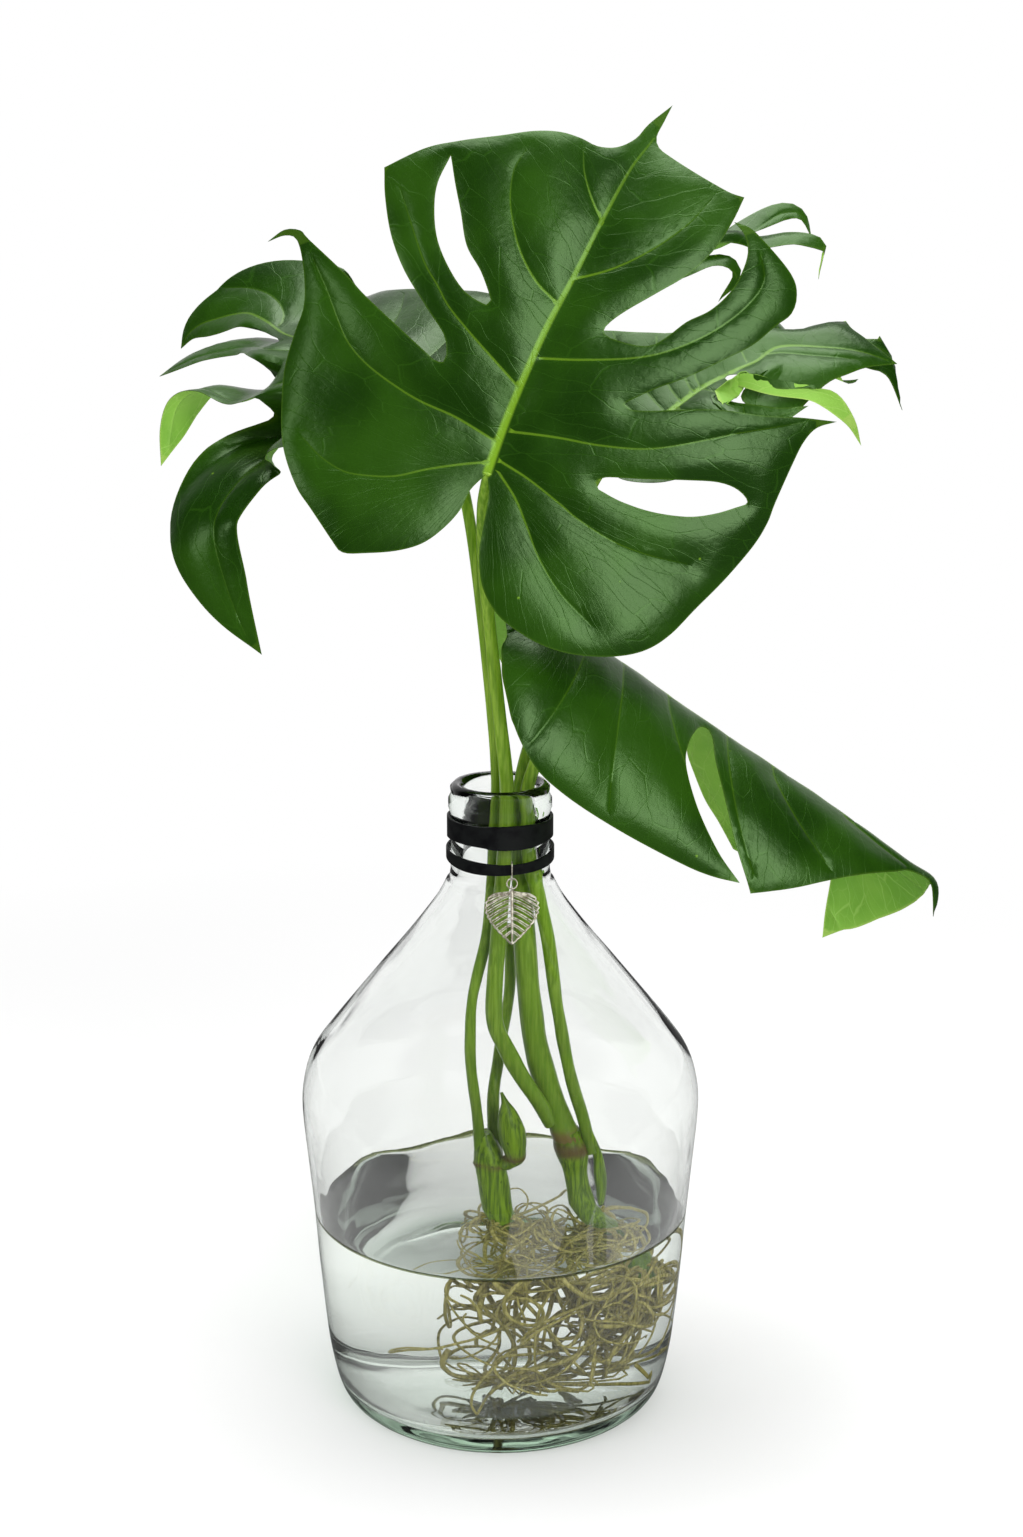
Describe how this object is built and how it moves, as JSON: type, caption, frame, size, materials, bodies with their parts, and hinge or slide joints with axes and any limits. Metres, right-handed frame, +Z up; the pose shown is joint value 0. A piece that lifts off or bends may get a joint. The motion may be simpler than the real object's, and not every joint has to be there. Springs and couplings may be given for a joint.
{
  "type": "monstera leaf cutting in a bottle vase",
  "caption": "Large split and pierced leaves on long stalks, rooting in water in a clear narrow-necked glass bottle vase with two black neck bands and a hanging leaf charm.",
  "frame": {"origin": "centre of the vase's flat foot, on the surface it stands on", "axes": "+Z up along the vase, -Y is the front, +X is to the right seen from the front"},
  "size_m": [0.4629, 0.3025, 0.7673],
  "materials": {
    "glass": "clear, faintly green, slightly uneven thick glass",
    "water": "clear still water",
    "band": "satin black rubber",
    "metal": "antique silver, worn",
    "leaf": "waxy deep green with a soft gloss, pale green underneath",
    "petiole": "smooth fresh yellow-green stalk",
    "stem": "smooth fresh olive-green stem",
    "root": "matt beige-olive water roots"
  },
  "bodies": {
    "plant_and_vase": {"vase": "glass", "water": "water", "band_upper": "band", "band_lower": "band", "wire_loop": "metal", "leaf_front": "leaf", "leaf_left": "leaf", "leaf_low": "leaf", "leaf_right": "leaf", "petiole_front": "petiole", "petiole_left": "petiole", "petiole_low": "petiole", "petiole_right": "petiole", "petiole_stub": "petiole", "stem_left": "stem", "stem_right": "stem", "stem_side": "stem", "bud": "stem", "root_01": "root", "root_02": "root", "root_03": "root", "root_04": "root", "root_05": "root", "root_06": "root", "root_07": "root", "root_08": "root", "root_09": "root", "root_10": "root"},
    "charm": {"jump_ring": "metal", "leaf_charm": "metal"}
  },
  "joints": [
    {"name": "charm_swing", "type": "hinge", "parent": "plant_and_vase", "child": "charm", "pos_m": [0.007, -0.0313, 0.3334], "axis": [-1, 0, 0], "range_deg": [0, 100]}
  ]
}
